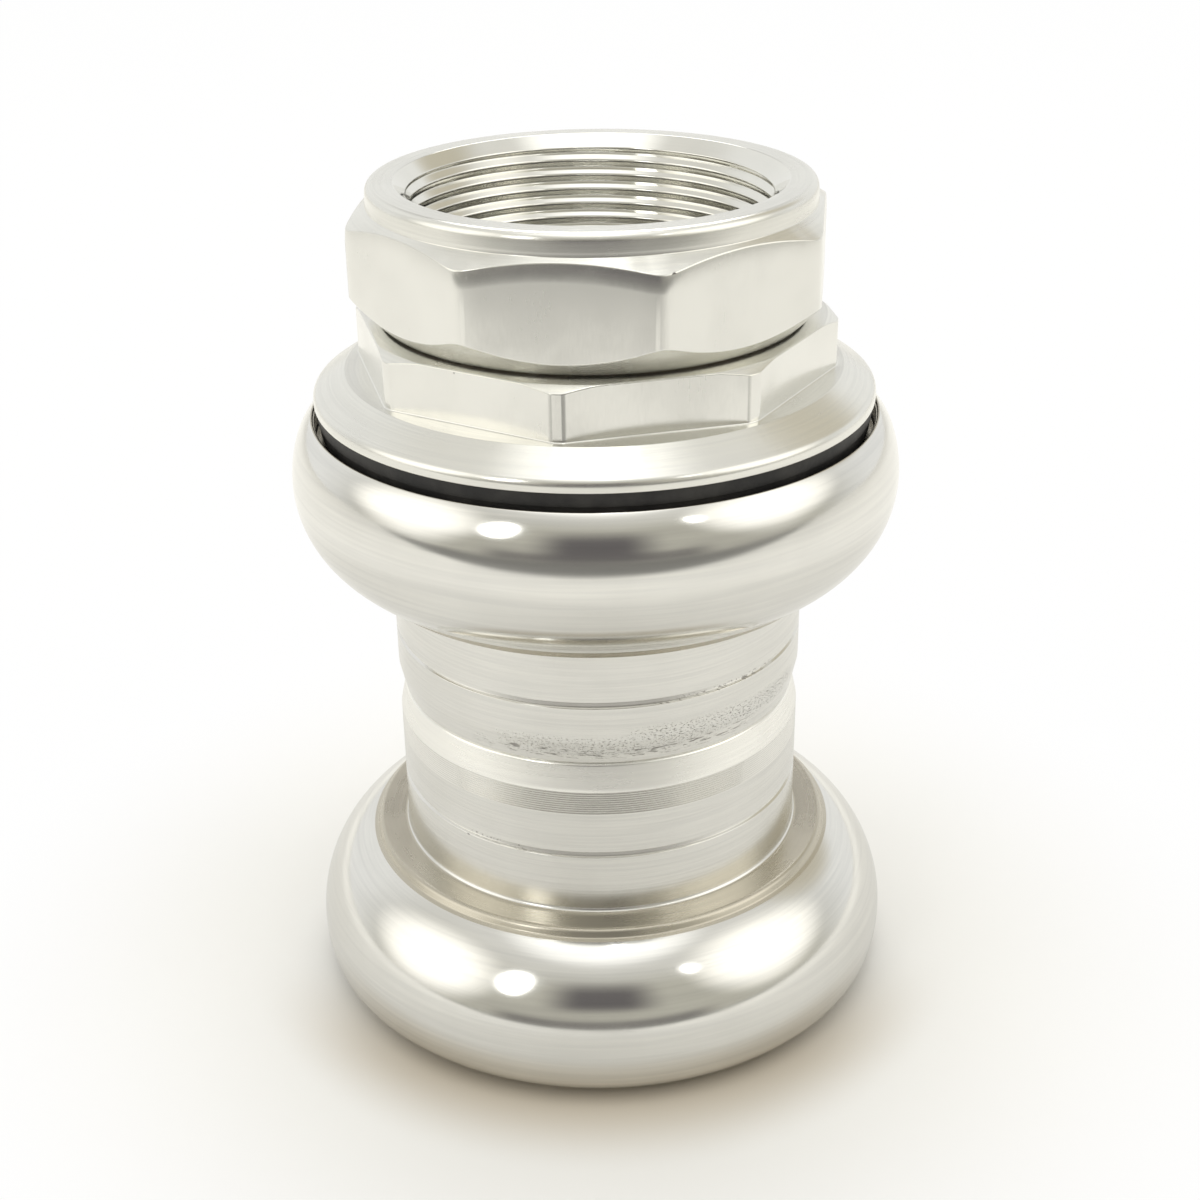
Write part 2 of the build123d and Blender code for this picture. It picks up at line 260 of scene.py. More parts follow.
def chain(tree, operation, first, *terms):
    """The same step of arithmetic on several values or links, one after the other."""
    for term in terms:
        first = calc(tree, operation, first, term)
    return first


def opaque(rgb, scale=1.0):
    """A colour with full alpha, made lighter or darker."""
    return tuple(min(1.0, part * scale) for part in rgb) + (1.0,)


def object_point(tree):
    """The surface point in the object's own metres."""
    return place(tree, "ShaderNodeTexCoord").outputs["Object"]


def split(tree, point):
    """The X, Y and Z of a vector."""
    return place(tree, "ShaderNodeSeparateXYZ", {0: point}).outputs


def join(tree, x=0.0, y=0.0, z=0.0):
    """A vector from three values or links."""
    return place(tree, "ShaderNodeCombineXYZ", {"X": x, "Y": y, "Z": z}).outputs[0]


def vector(tree, operation, *terms):
    """One step of vector arithmetic that gives a vector."""
    return place(tree, "ShaderNodeVectorMath", dict(enumerate(terms)), operation=operation).outputs[0]


def scaled(tree, point, factor):
    """A vector made longer or shorter."""
    return place(tree, "ShaderNodeVectorMath", {0: point, "Scale": factor}, operation="SCALE").outputs[0]


def measure(tree, operation, *terms):
    """One step of vector arithmetic that gives a number."""
    return place(tree, "ShaderNodeVectorMath", dict(enumerate(terms)), operation=operation).outputs["Value"]


def noise(tree, spot, detail, fourth=None, scale=1.0, roughness=0.5):
    """Noise at a point, in four dimensions where a fourth is given."""
    values = {"Vector": spot, "Scale": scale, "Detail": detail, "Roughness": roughness}
    if fourth is None:
        return place(tree, "ShaderNodeTexNoise", values).outputs["Fac"]
    values["W"] = fourth
    return place(tree, "ShaderNodeTexNoise", values, noise_dimensions="4D").outputs["Fac"]


def effect(name, inputs, outputs):
    """An empty shader node group with named values going in and coming out."""
    group = bpy.data.node_groups.new(name, "ShaderNodeTree")
    for label, default in inputs.items():
        kind = "NodeSocketFloat" if isinstance(default, float) else "NodeSocketVector"
        group.interface.new_socket(label, in_out="INPUT", socket_type=kind).default_value = default
    for label in outputs:
        group.interface.new_socket(label, in_out="OUTPUT", socket_type="NodeSocketFloat")
    given = group.nodes.new("NodeGroupInput").outputs
    result = group.nodes.new("NodeGroupOutput").inputs
    return group, given, result


def axis_coordinates(tree):
    """The surface point in millimetres, its parts, its radius and the unit direction away from the axis."""
    point = scaled(tree, object_point(tree), 1.0 / MM)
    parts = split(tree, point)
    flat = join(tree, parts["X"], parts["Y"])
    return point, parts, measure(tree, "LENGTH", flat), vector(tree, "NORMALIZE", flat)


BAND_SHARE = 0.17


def turning_lines_effect():
    """Fine lathe lines that run round the axis on any turned face, and slow bands of tone."""
    inputs = {"Pitch": 0.3, "Wander": 1.5, "Seed": 0.0}
    tree, given, result = effect("Turning Lines", inputs, ("Lines", "Bands"))
    _, parts, radius, unit = axis_coordinates(tree)
    turn = split(tree, unit)
    across = calc(tree, "DIVIDE", radius, given["Pitch"])
    up = calc(tree, "DIVIDE", parts["Z"], given["Pitch"])
    round_x = calc(tree, "MULTIPLY", turn["X"], given["Wander"])
    round_y = calc(tree, "MULTIPLY_ADD", turn["Y"], given["Wander"], given["Seed"])
    fine = join(tree, across, up, round_x)
    tree.links.new(noise(tree, fine, 2.0, round_y, roughness=0.6), result["Lines"])
    across, up = (calc(tree, "MULTIPLY", part, BAND_SHARE) for part in (across, up))
    tree.links.new(noise(tree, join(tree, across, up, round_x), 1.0, round_y), result["Bands"])
    return tree


def handling_effect():
    """Smudges from handling, hairline scratches and a few small dark specks."""
    inputs = {"Smudge Size": 6.0, "Scratch Size": 7.0, "Speck Size": 2.2, "Seed": 0.0}
    tree, given, result = effect("Handling Marks", inputs, ("Smudge", "Scratches", "Specks"))
    seed = join(tree, given["Seed"], given["Seed"])
    moved = vector(tree, "ADD", axis_coordinates(tree)[0], seed)

    def sized(label):
        return scaled(tree, moved, calc(tree, "DIVIDE", 1.0, given[label]))

    smudge = noise(tree, sized("Smudge Size"), 4.0, roughness=0.55)
    tree.links.new(ramp(tree, smudge, 0.38, 0.68), result["Smudge"])
    thin = sized("Scratch Size")
    drawn = {"Vector": thin, "Rotation": (0.5, 0.9, 0.4), "Scale": (0.35, 2.2, 1.0)}
    turned = place(tree, "ShaderNodeMapping", drawn).outputs[0]
    edges = place(tree, "ShaderNodeTexVoronoi", {"Vector": turned, "Scale": 1.0}, feature="DISTANCE_TO_EDGE")
    lines = ramp(tree, edges.outputs["Distance"], 0.004, 0.012, 1.0, 0.0)
    gate = ramp(tree, noise(tree, thin, 2.0, scale=2.1), 0.55, 0.66)
    tree.links.new(calc(tree, "MULTIPLY", lines, gate), result["Scratches"])
    dots = {"Vector": sized("Speck Size"), "Scale": 1.0, "Randomness": 1.0}
    cells = place(tree, "ShaderNodeTexVoronoi", dots)
    chance = place(tree, "ShaderNodeSeparateColor", {0: cells.outputs["Color"]}).outputs["Red"]
    size = ramp(tree, chance, 0.93, 1.0, 0.0, 0.085)
    tree.links.new(calc(tree, "LESS_THAN", cells.outputs["Distance"], size), result["Specks"])
    return tree


def patch_effect():
    """A soft window in height and azimuth that keeps a mark to its own place."""
    inputs = {"Height": 0.0, "Half Height": 1.0, "Height Fade": 0.3, "Facing": (0.0, -1.0, 0.0), "Edge": 0.0,
              "Core": 1.0}
    tree, given, result = effect("Marked Patch", inputs, ("Mask",))
    _, parts, _, unit = axis_coordinates(tree)
    away = calc(tree, "ABSOLUTE", calc(tree, "SUBTRACT", parts["Z"], given["Height"]))
    outer = calc(tree, "ADD", given["Half Height"], given["Height Fade"])
    level = ramp(tree, away, given["Half Height"], outer, 1.0, 0.0)
    side = ramp(tree, measure(tree, "DOT_PRODUCT", unit, given["Facing"]), given["Edge"], given["Core"])
    tree.links.new(calc(tree, "MULTIPLY", level, side), result["Mask"])
    return tree


def pits_effect():
    """Small irregular hollows, longer round the axis than along it."""
    inputs = {"Length": 0.8, "Height": 0.3, "Threshold": 0.6, "Seed": 0.0}
    tree, given, result = effect("Casting Pits", inputs, ("Mask",))
    _, parts, radius, _ = axis_coordinates(tree)
    angle = calc(tree, "ARCTAN2", parts["Y"], parts["X"])
    along = calc(tree, "DIVIDE", calc(tree, "MULTIPLY", angle, radius), given["Length"])
    up = calc(tree, "DIVIDE", parts["Z"], given["Height"])
    hollow = noise(tree, join(tree, along, up, given["Seed"]), 2.5, roughness=0.6)
    upper = calc(tree, "ADD", given["Threshold"], 0.05)
    tree.links.new(ramp(tree, hollow, given["Threshold"], upper), result["Mask"])
    return tree


def flat_grain_effect():
    """Straight grain along the axis, as a belt leaves it on a wrench flat."""
    tree, given, result = effect("Flat Grain", {"Pitch": 0.22, "Stretch": 0.03, "Seed": 0.0}, ("Grain",))
    drawn = vector(tree, "MULTIPLY", axis_coordinates(tree)[0], join(tree, 1.0, 1.0, given["Stretch"]))
    small = scaled(tree, drawn, calc(tree, "DIVIDE", 1.0, given["Pitch"]))
    tree.links.new(noise(tree, small, 3.0, given["Seed"]), result["Grain"])
    return tree


EFFECT_MAKERS = {
    "Turning Lines": turning_lines_effect,
    "Handling Marks": handling_effect,
    "Marked Patch": patch_effect,
    "Casting Pits": pits_effect,
    "Flat Grain": flat_grain_effect,
}


def use_effect(tree, name, **values):
    """Place a shared effect in a material, building it the first time."""
    group = bpy.data.node_groups.get(name) or EFFECT_MAKERS[name]()
    values = {label.replace("_", " "): value for label, value in values.items()}
    return place(tree, "ShaderNodeGroup", values, node_tree=group).outputs


def bare_material(name, metallic, anisotropic=0.0):
    """A new material with its principled shader, brushed round the axis where it is anisotropic."""
    material = bpy.data.materials.new(name)
    material.use_nodes = True
    tree = material.node_tree
    shader = next(node for node in tree.nodes if node.type == "BSDF_PRINCIPLED")
    shader.inputs["Metallic"].default_value = metallic
    if anisotropic:
        shader.inputs["Anisotropic"].default_value = anisotropic
        shader.inputs["Anisotropic Rotation"].default_value = 0.25
        tangent = place(tree, "ShaderNodeTangent", direction_type="RADIAL", axis="Z").outputs[0]
        tree.links.new(tangent, shader.inputs["Tangent"])
    return material, tree, shader


def bumped(tree, shader, height, depth):
    """Give a shader a bump of the stated depth in millimetres."""
    bump = place(tree, "ShaderNodeBump", {"Height": height, "Distance": depth * MM, "Strength": 1.0})
    tree.links.new(bump.outputs[0], shader.inputs["Normal"])


# Wear on turned metal: strengths and shades of smudges, bands and streaks, then hollows and scratches
SMUDGE_TONE, SMUDGE_SHADE = 0.6, 0.93
BAND_TONE, BAND_GREEN, BAND_BLUE = 0.35, 0.99, 0.93
STREAK_SHADE = 0.86
HOLLOW_TONE, HOLLOW_DEPTH, HOLLOW_ROUGHNESS = 0.8, 4.0, 0.4
SCRATCH_DEPTH = 0.6


def turned_metal(name, base, roughness, pitch, depth, anisotropic, seed, streak=0.4, marks=None):
    """Turned aluminium: lathe lines, handling marks and specks; marks adds dark hollows of its own, which for
    the feed band include painted shade.
    """
    material, tree, shader = bare_material(name, 1.0, anisotropic)
    lines = use_effect(tree, "Turning Lines", Pitch=pitch, Seed=seed)
    hands = use_effect(tree, "Handling Marks", Seed=seed * 3.7)
    smudge = calc(tree, "MULTIPLY", hands["Smudge"], SMUDGE_TONE)
    tone = mix(tree, smudge, opaque(base), opaque(base, SMUDGE_SHADE))
    warm = opaque((base[0], base[1] * BAND_GREEN, base[2] * BAND_BLUE))
    tone = mix(tree, calc(tree, "MULTIPLY", lines["Bands"], BAND_TONE), tone, warm)
    tone = mix(tree, ramp(tree, lines["Lines"], 0.35, 0.7, 0.0, streak), tone, opaque(base, STREAK_SHADE))
    hollow = hands["Specks"]
    if marks:
        hollow = calc(tree, "MAXIMUM", hollow, marks(tree))
    # pit colours the specks and the marks; for the feed band the marks include painted shade in the groove and
    # feed-line bottoms
    pit = opaque(bpy.context.scene.headset_finish.pit)
    tone = mix(tree, calc(tree, "MULTIPLY", hollow, HOLLOW_TONE), tone, pit)
    tree.links.new(tone, shader.inputs["Base Color"])
    grain = calc(tree, "MULTIPLY_ADD", lines["Lines"], 0.5 * roughness, 0.72 * roughness)
    worn = calc(tree, "MULTIPLY_ADD", hands["Smudge"], 0.2 * roughness, grain)
    tree.links.new(calc(tree, "MULTIPLY_ADD", hollow, HOLLOW_ROUGHNESS, worn), shader.inputs["Roughness"])
    height = calc(tree, "SUBTRACT", lines["Lines"], calc(tree, "MULTIPLY", hands["Scratches"], SCRATCH_DEPTH))
    height = calc(tree, "SUBTRACT", height, calc(tree, "MULTIPLY", hollow, HOLLOW_DEPTH))
    bumped(tree, shader, height, depth)
    return material


def ground_flat(name, base, roughness):
    """Satin aluminium with grain along the axis."""
    material, tree, shader = bare_material(name, 1.0)
    grain = use_effect(tree, "Flat Grain", Pitch=0.09, Stretch=0.12)["Grain"]
    hands = use_effect(tree, "Handling Marks", Seed=11.0, Smudge_Size=5.0)
    tone = mix(tree, calc(tree, "MULTIPLY", hands["Smudge"], 0.5), opaque(base), opaque(base, 0.92))
    pit = opaque(bpy.context.scene.headset_finish.pit)
    tone = mix(tree, calc(tree, "MULTIPLY", hands["Specks"], 0.7), tone, pit)
    tree.links.new(tone, shader.inputs["Base Color"])
    worn = calc(tree, "MULTIPLY_ADD", hands["Smudge"], 0.06, roughness - 0.07)
    tree.links.new(calc(tree, "MULTIPLY_ADD", grain, 0.12, worn), shader.inputs["Roughness"])
    bumped(tree, shader, calc(tree, "SUBTRACT", grain, calc(tree, "MULTIPLY", hands["Scratches"], 0.8)), 0.0004)
    return material


def moulded(name, base, roughness, grain_size, depth, dust):
    """A moulded material with a fine grain and a little dust in it."""
    material, tree, shader = bare_material(name, 0.0)
    grain = noise(tree, object_point(tree), 4.0, scale=1.0 / (grain_size * MM))
    smudge = use_effect(tree, "Handling Marks", Seed=23.0, Smudge_Size=3.0)["Smudge"]
    dusty = opaque(bpy.context.scene.headset_finish.dust)
    tone = mix(tree, calc(tree, "MULTIPLY", smudge, dust), opaque(base), dusty)
    tree.links.new(tone, shader.inputs["Base Color"])
    tree.links.new(calc(tree, "MULTIPLY_ADD", grain, 0.15, roughness - 0.07), shader.inputs["Roughness"])
    bumped(tree, shader, grain, depth)
    return material


# Worn places, and places of painted shade: height, half height and fade in millimetres, then azimuth, half
# width and fade in degrees
LEFT_PITS = (25.55, 0.4, 0.6, -93.0, 16.0, 14.0)
RIGHT_PITS = (26.15, 0.45, 0.6, -52.0, 22.0, 12.0)
SMEARED_END = (24.95, 0.25, 0.3, -84.0, 30.0, 16.0)
UPPER_NICKS = (28.66, 0.2, 0.05, -55.0, 19.0, 6.0)
LOWER_NICKS = (16.92, 0.2, 0.05, -116.0, 10.0, 5.0)
# The groove and feed places below hold painted shade, not wear
GROOVE_SHADE_FRONT = (22.8, 8.0, 0.3, -90.0, 12.0, 24.0)
FEED_SHADE_FRONT = (21.04, 0.9, 0.1, -92.6, 9.0, 19.0)


def wear_and_shade_place(tree, height, half_height, fade, azimuth, half_width, side_fade):
    """The soft patch that a wear mark is kept to, and also a painted shade."""
    turn = math.radians(azimuth)
    return use_effect(tree, "Marked Patch", Height=height, Half_Height=half_height, Height_Fade=fade,
                      Facing=(math.cos(turn), math.sin(turn), 0.0),
                      Edge=math.cos(math.radians(half_width + side_fade)),
                      Core=math.cos(math.radians(half_width)))["Mask"]


def skirt_marks(tree):
    """Pits and smears at the end of the upper skirt."""
    specks = use_effect(tree, "Casting Pits", Length=0.21, Height=0.1, Threshold=0.56)["Mask"]
    left = calc(tree, "MULTIPLY", wear_and_shade_place(tree, *LEFT_PITS), 0.75)
    worn = calc(tree, "MAXIMUM", left, wear_and_shade_place(tree, *RIGHT_PITS))
    smears = use_effect(tree, "Casting Pits", Length=1.0, Height=0.15, Threshold=0.55, Seed=9.0)["Mask"]
    smears = chain(tree, "MULTIPLY", smears, wear_and_shade_place(tree, *SMEARED_END), 0.75)
    return calc(tree, "MAXIMUM", chain(tree, "MULTIPLY", specks, worn, 0.7), smears)


def feed_shade_and_nicks(tree):
    """Painted shade darkening the bottoms of the feed lines and of the groove of each skirt in front, and nicks
    in the groove of each skirt.
    """
    sizes = bpy.context.scene.headset_turning
    _, parts, radius, _ = axis_coordinates(tree)
    floor = (sizes.skirt_radius - sizes.groove_depth) / MM
    # Painted shade: the groove bottoms are darker, in front only
    painted_groove_shade = ramp(tree, radius, floor + 0.02, floor + 0.10, 0.55, 0.0)
    painted_groove_shade = calc(tree, "MULTIPLY", painted_groove_shade, wear_and_shade_place(tree, *GROOVE_SHADE_FRONT))
    spacing = (sizes.feed_high - sizes.feed_low) / (sizes.feed_count * MM)
    below = calc(tree, "SUBTRACT", sizes.feed_high / MM, parts["Z"])
    step = calc(tree, "FRACT", calc(tree, "DIVIDE", below, spacing))
    # Painted shade: the feed-line bottoms are darker, in front only
    painted_feed_shade = ramp(tree, calc(tree, "ABSOLUTE", calc(tree, "SUBTRACT", step, 0.5)), 0.1, 0.35, 0.42, 0.0)
    painted_feed_shade = calc(tree, "MULTIPLY", painted_feed_shade, wear_and_shade_place(tree, *FEED_SHADE_FRONT))
    nicks = use_effect(tree, "Casting Pits", Length=0.24, Height=0.22, Threshold=0.54, Seed=4.0)["Mask"]
    edges = calc(tree, "MAXIMUM", wear_and_shade_place(tree, *UPPER_NICKS), wear_and_shade_place(tree, *LOWER_NICKS))
    return chain(tree, "MAXIMUM", painted_feed_shade, chain(tree, "MULTIPLY", nicks, edges, 0.7), painted_groove_shade)


def turned_finishes(finish):
    """Turned finishes: name, colour, roughness, pitch and depth of lines, anisotropy, seed, streaks, marks."""
    return {
        "bowl": ("polished bowl", finish.polished, finish.bulge_roughness, 0.35, 0.0009, 0.3, 1.0, 0.6),
        "skirt": ("turned skirt", finish.polished, finish.skirt_roughness, 0.14, 0.003, 0.55, 2.0, 0.65,
                  skirt_marks),
        # The shoulder finish carries painted shade in its colour
        "shoulder": ("turned shoulder", finish.shoulder, finish.shoulder_roughness, 0.25, 0.0004, 0.4, 3.0),
        # The land finish carries painted light in its colour
        "land": ("turned land", finish.land, 0.26, 0.2, 0.001, 0.5, 8.0, 0.3),
        # The feed band holds nicks, and painted shade in its groove and feed-line bottoms
        "feed": ("feed band", finish.polished, 0.1, 0.3, 0.0001, 0.0, 9.0, 0.1, feed_shade_and_nicks),
        "cone": ("turned cone", finish.satin, finish.cone_roughness, 0.18, 0.0015, 0.65, 4.0),
        "thread": ("cut thread", finish.satin, finish.thread_roughness, 0.3, 0.0001, 0.3, 5.0, 0.1),
        "steel": ("bearing steel", finish.steel, 0.2, 0.25, 0.001, 0.3, 6.0),
        "washer": ("washer steel", finish.washer, 0.42, 0.3, 0.003, 0.2, 7.0),
    }


def ground_finishes(finish):
    """Ground finishes: name, colour and roughness."""
    return {"flat": ("wrench flat", finish.satin, finish.flat_roughness)}


def moulded_finishes(finish):
    """Moulded finishes: name, colour, roughness, grain size and depth in millimetres, dust."""
    return {
        "rubber": ("black rubber", finish.rubber, 0.55, 0.25, 0.012, 0.07),
        "nylon": ("cage nylon", finish.nylon, 0.45, 0.4, 0.01, 0.2),
    }


FINISHES = ((turned_metal, turned_finishes), (ground_flat, ground_finishes), (moulded, moulded_finishes))


def finish_material(key):
    """The material of a finish, made the first time that it is asked for."""
    for make, table in FINISHES:
        values = table(bpy.context.scene.headset_finish).get(key)
        if values:
            return bpy.data.materials.get(values[0]) or make(*values)
    raise RuntimeError(f"there is no finish called {key}")


def dress(nodes, key):
    """Give solids of the frame a finish, leaving their meshes as they are."""
    material = finish_material(key)
    for node in nodes:
        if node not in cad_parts:
            raise RuntimeError(f"the frame has no piece called {node}")
        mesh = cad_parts[node].data
        mesh.materials.clear()
        mesh.materials.append(material)


def section_outline(node, start_height):
    """Closed outline of a turned solid in the half-plane of +X, as (radius, height), from its inner edge."""
    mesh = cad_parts[node].data
    spots = {}
    for vertex in mesh.vertices:
        if abs(vertex.co.y) < 2e-7 and vertex.co.x > 0.0:
            spots[vertex.index] = (round(vertex.co.x, 7), round(vertex.co.z, 7))
    links = {}
    for edge in mesh.edges:
        first, second = (spots.get(index) for index in edge.vertices)
        if first and second and first != second:
            links.setdefault(first, set()).add(second)
            links.setdefault(second, set()).add(first)
    if not links or any(len(ends) != 2 for ends in links.values()):
        raise RuntimeError(f"the section of {node} isn't one closed outline")
    start = min(links, key=lambda spot: (round(abs(spot[1] - start_height), 5), spot[0]))
    outline = [start, max(links[start])]
    while True:
        following = next(spot for spot in links[outline[-1]] if spot != outline[-2])
        if following == start:
            return [Vector(spot) for spot in outline]
        outline.append(following)


def bend(before, spot, after):
    """Angle by which a path turns at a point."""
    return (spot - before).angle(after - spot)


def smooth_curves(outline, splits):
    """Cut the chords of curved runs finer, along a smooth curve through their points; corners stay."""
    count = len(outline)
    curved = []
    for index, spot in enumerate(outline):
        before, after = outline[index - 1], outline[(index + 1) % count]
        lengths = sorted(((spot - before).length, (after - spot).length))
        curved.append(bend(before, spot, after) < math.radians(17.0) and lengths[1] < 2.2 * lengths[0])
    result = []
    for index, spot in enumerate(outline):
        following = (index + 1) % count
        target = outline[following]
        result.append(spot)
        if not curved[index] and not curved[following]:
            continue
        middle = 0.5 * (spot + target)
        along = (target - spot).normalized()
        before = outline[index - 1]
        after = outline[(following + 1) % count]
        if not curved[index]:
            before = after - 2.0 * (after - middle).dot(along) * along
        if not curved[following]:
            after = before - 2.0 * (before - middle).dot(along) * along
        for step in range(1, splits):
            part = step / splits
            result.append(0.5 * (2.0 * spot + (target - before) * part
                                 + (2.0 * before - 5.0 * spot + 4.0 * target - after) * part ** 2
                                 + (3.0 * spot - before - 3.0 * target + after) * part ** 3))
    return result


def corner_arc(before, spot, after, radius, steps):
    """Points of an arc in place of a corner, smaller where a side has no room for it."""
    turn = bend(before, spot, after)
    reach = radius * math.tan(0.5 * turn)
    reach = min(reach, 0.45 * (spot - before).length, 0.45 * (after - spot).length)
    first = spot + (before - spot).normalized() * reach
    last = spot + (after - spot).normalized() * reach
    points = []
    for step in range(steps + 1):
        part = step / steps
        near, far = (1.0 - part) ** 2, part ** 2
        pull = 2.0 * part * (1.0 - part) * math.cos(0.5 * turn)
        points.append((near * first + pull * spot + far * last) / (near + pull + far))
    return points


def break_edges(outline, sizes):
    """Round the sharp corners of a cup's outline, most of all where the shoulder runs into the bowl."""
    result = []
    for index, spot in enumerate(outline):
        before, after = outline[index - 1], outline[(index + 1) % len(outline)]
        at_bowl = abs(spot.x - sizes.shoulder_radius) < sizes.shoulder_break
        at_groove = abs(spot.x - sizes.skirt_radius) < 0.4 * MM
        radius = sizes.shoulder_break if at_bowl else sizes.groove_break if at_groove else sizes.edge_break
        if bend(before, spot, after) < math.radians(10.0 if at_bowl else 25.0):
            result.append(spot)
        else:
            result.extend(corner_arc(before, spot, after, radius, sizes.edge_steps))
    return result


def feed_lines(outline, sizes):
    """Cut a band of fine feed lines in the plain wall of an outline's skirt, where the band lies on it."""
    result = []
    count = sizes.feed_count * sizes.feed_steps
    for index, spot in enumerate(outline):
        result.append(spot)
        target = outline[(index + 1) % len(outline)]
        plain = max(abs(spot.x - sizes.skirt_radius), abs(target.x - sizes.skirt_radius)) < 0.001 * MM
        if plain and target.y < sizes.feed_low and spot.y > sizes.feed_high:
            for step in range(count + 1):
                height = sizes.feed_high + (sizes.feed_low - sizes.feed_high) * step / count
                cut = 0.5 * sizes.feed_depth * (1.0 - math.cos(FULL_TURN * step / sizes.feed_steps))
                result.append(Vector((sizes.skirt_radius - cut, height)))
    return result


def cup_zones(outline, sizes, skirt_end, rim_height):
    """Finish of each step along a cup's outline: skirt, shoulder, bowl, then the mouth and the inside.

    Grooves and feed lines have a finish of their own, and so has the land of the skirt that stands up.
    """
    zones = []
    zone = 0
    for index, spot in enumerate(outline):
        middle = 0.5 * (spot + outline[(index + 1) % len(outline)])
        if zone == 0 and middle.x > sizes.skirt_radius + 0.15 * MM:
            zone = 1
        if zone == 1 and middle.x > sizes.shoulder_radius + 0.25 * MM:
            zone = 2
        if zone == 2 and abs(middle.y - rim_height) < 0.02 * MM:
            zone = 3
        at_end = abs(middle.y - skirt_end) < sizes.land_height
        in_band = sizes.feed_low < middle.y < sizes.feed_high
        if zone == 0 and at_end and skirt_end > rim_height:
            zones.append(4)
        elif zone == 0 and not at_end and (in_band or middle.x < sizes.skirt_radius - 0.01 * MM):
            zones.append(5)
        else:
            zones.append(zone)
    return zones


def ring_object(name, angles, columns, zones, finishes, thread_rows=0, turn_rows=0):
    """A closed ring from one outline per angle; the last thread_rows points climb by turn_rows in one turn."""
    shape = bmesh.new()
    points = []
    for angle, column in zip(angles, columns):
        across, along = math.cos(angle), math.sin(angle)
        points.append([shape.verts.new((spot.x * across, spot.x * along, spot.y)) for spot in column])
    count = len(zones)
    plain = count - thread_rows
    for left in range(len(points)):
        right = (left + 1) % len(points)
        for low in range(count):
            high = (low + 1) % count
            climb = turn_rows if right == 0 and low >= plain and high > low else 0
            if climb and low - climb < plain:
                continue
            face = shape.faces.new((points[left][low], points[right][low - climb], points[right][high - climb],
                                    points[left][high]))
            face.material_index = zones[low]
            face.smooth = True
    bmesh.ops.remove_doubles(shape, verts=shape.verts, dist=3e-7)
    bmesh.ops.recalc_face_normals(shape, faces=shape.faces)
    mesh = bpy.data.meshes.new(name)
    shape.to_mesh(mesh)
    shape.free()
    for key in finishes:
        mesh.materials.append(finish_material(key))
    made = bpy.data.objects.new(name, mesh)
    bpy.context.scene.collection.objects.link(made)
    made.modifiers.new("Weighted normals", "WEIGHTED_NORMAL").keep_sharp = True
    return made


def cup_object(node, skirt_end, rim_height):
    """A cup with smooth curves and broken edges in place of its solid."""
    sizes = bpy.context.scene.headset_turning
    outline = smooth_curves(section_outline(node, skirt_end), sizes.arc_splits)
    outline = feed_lines(break_edges(outline, sizes), sizes)
    angles = [FULL_TURN * step / sizes.columns for step in range(sizes.columns)]
    zones = cup_zones(outline, sizes, skirt_end, rim_height)
    made = ring_object(node + "_turned", angles, [outline] * len(angles), zones,
                       ("skirt", "shoulder", "bowl", "shoulder", "land", "feed"))
    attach(made, "cups")
    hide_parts(node)


def octagon_angles(turn):
    """Azimuths of the columns of an octagon, close together where a flat meets a corner."""
    sizes = bpy.context.scene.headset_octagon
    half = math.pi / sizes.sides
    kink = math.acos(sizes.flat_radius / sizes.corner_radius)
    spread = 0.6 * (half - kink)
    flat = [-kink + spread + 2.0 * (kink - spread) * step / sizes.flat_columns
            for step in range(sizes.flat_columns + 1)]
    crease = [kink - 0.5 * spread, kink - 0.2 * spread, kink, kink + 0.2 * spread, kink + 0.5 * spread]
    sector = sorted([-angle for angle in crease] + flat + crease + [half])
    return [turn + half + 2.0 * half * side + angle for side in range(sizes.sides) for angle in sector]


def octagon_radius(angle, turn, blend):
    """Radius of the octagon at an azimuth: wrench flats, with their corners turned down."""
    sizes = bpy.context.scene.headset_octagon
    sector = FULL_TURN / sizes.sides
    offset = (angle - turn) % sector - 0.5 * sector
    flat = sizes.flat_radius / math.cos(offset)
    gap = max(blend - abs(flat - sizes.corner_radius), 0.0) / blend
    return min(flat, sizes.corner_radius) - 0.25 * gap * gap * blend


def rounded_path(corners, steps):
    """An open path with its corners rounded, and the number of the side that each step lies on."""
    path, sides = [], []
    for index, (radius, height, rounding) in enumerate(corners):
        spot = Vector((radius, height))
        if index in (0, len(corners) - 1):
            arc = [spot]
        else:
            fine = 3 * steps if rounding > bpy.context.scene.headset_turning.large_round else steps
            before, after = Vector(corners[index - 1][:2]), Vector(corners[index + 1][:2])
            arc = corner_arc(before, spot, after, rounding, fine)
        path.extend(arc)
        sides.extend([index] * len(arc))
    return path, sides


def thread_column(angle, first_angle, low, high, bore_radius, low_lead, high_lead):
    """Points down a threaded wall at one azimuth; its rows climb with the azimuth, and the leads cut ridges."""
    thread = bpy.context.scene.headset_thread
    at_first = thread.start + thread.pitch * (first_angle - 0.5 * math.pi) / FULL_TURN
    base = at_first - thread.pitch * math.ceil((at_first - low) / thread.pitch + 1.0)
    count = thread.rows * math.ceil((high - base) / thread.pitch + 1.0)
    climb = thread.pitch * (angle - first_angle) / FULL_TURN
    column = []
    for row in range(count, -1, -1):
        height = base + climb + thread.pitch * row / thread.rows
        height = min(max(height, low), high)
        part = (row % thread.rows) / thread.rows
        flank = (min(part, 1.0 - part) - thread.root_half) / (0.5 - thread.crest_half - thread.root_half)
        ridge = thread.depth * min(max(flank, 0.0), 1.0)
        radius = max(bore_radius - ridge, bore_radius - (high - height) * high_lead,
                     bore_radius - (height - low) * low_lead)
        column.append(Vector((radius, height)))
    return column


